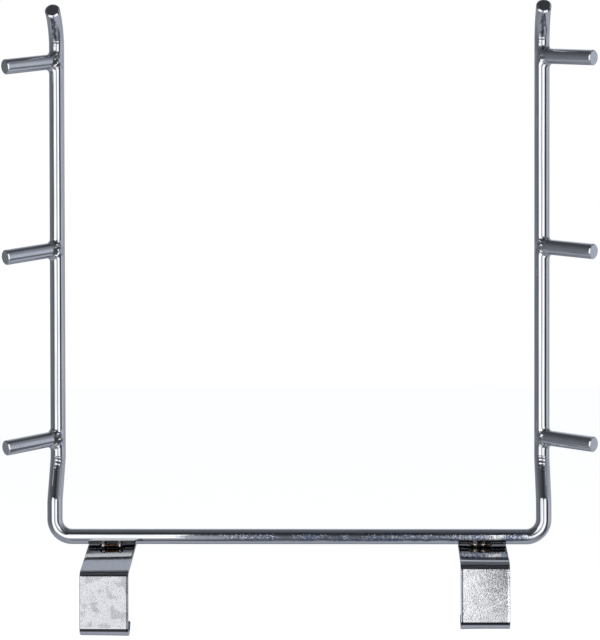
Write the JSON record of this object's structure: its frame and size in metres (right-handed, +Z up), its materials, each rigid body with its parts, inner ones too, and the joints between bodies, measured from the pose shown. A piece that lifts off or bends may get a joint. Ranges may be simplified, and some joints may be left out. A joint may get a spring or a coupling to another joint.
{
  "type": "rail rack",
  "caption": "Chrome wire U-frame with angled side pegs, whose two bent strip clips hook over a flat rail.",
  "frame": {"origin": "midway between the uprights, on the plane of the clips' back faces, at the top edge of a seated rail", "axes": "+Z up along the uprights, +X to the viewer's right, -Y is the front that the clips' flat plates face"},
  "size_m": [0.3113, 0.047, 0.3285],
  "materials": {
    "rod_chrome": "bright plated round steel rod, scuffed along the bottom bar",
    "peg_chrome": "bright plated, with flat sawn ends",
    "strip_chrome": "bright plated strip with a fine pebbled surface",
    "plated_weld": "plated over a rough weld",
    "tinted_weld": "thinly plated weld, tinted brown"
  },
  "bodies": {
    "root": {"frame_rod": "rod_chrome", "peg_left_lower": "peg_chrome", "peg_left_middle": "peg_chrome", "peg_left_upper": "peg_chrome", "peg_right_lower": "peg_chrome", "peg_right_middle": "peg_chrome", "peg_right_upper": "peg_chrome", "hook_clip_left": "strip_chrome", "hook_clip_right": "strip_chrome", "peg_weld_left_lower": "plated_weld", "peg_weld_left_middle": "plated_weld", "peg_weld_left_upper": "plated_weld", "peg_weld_right_lower": "plated_weld", "peg_weld_right_middle": "plated_weld", "peg_weld_right_upper": "plated_weld", "clip_weld_left": "tinted_weld", "clip_weld_right": "tinted_weld"}
  },
  "joints": []
}
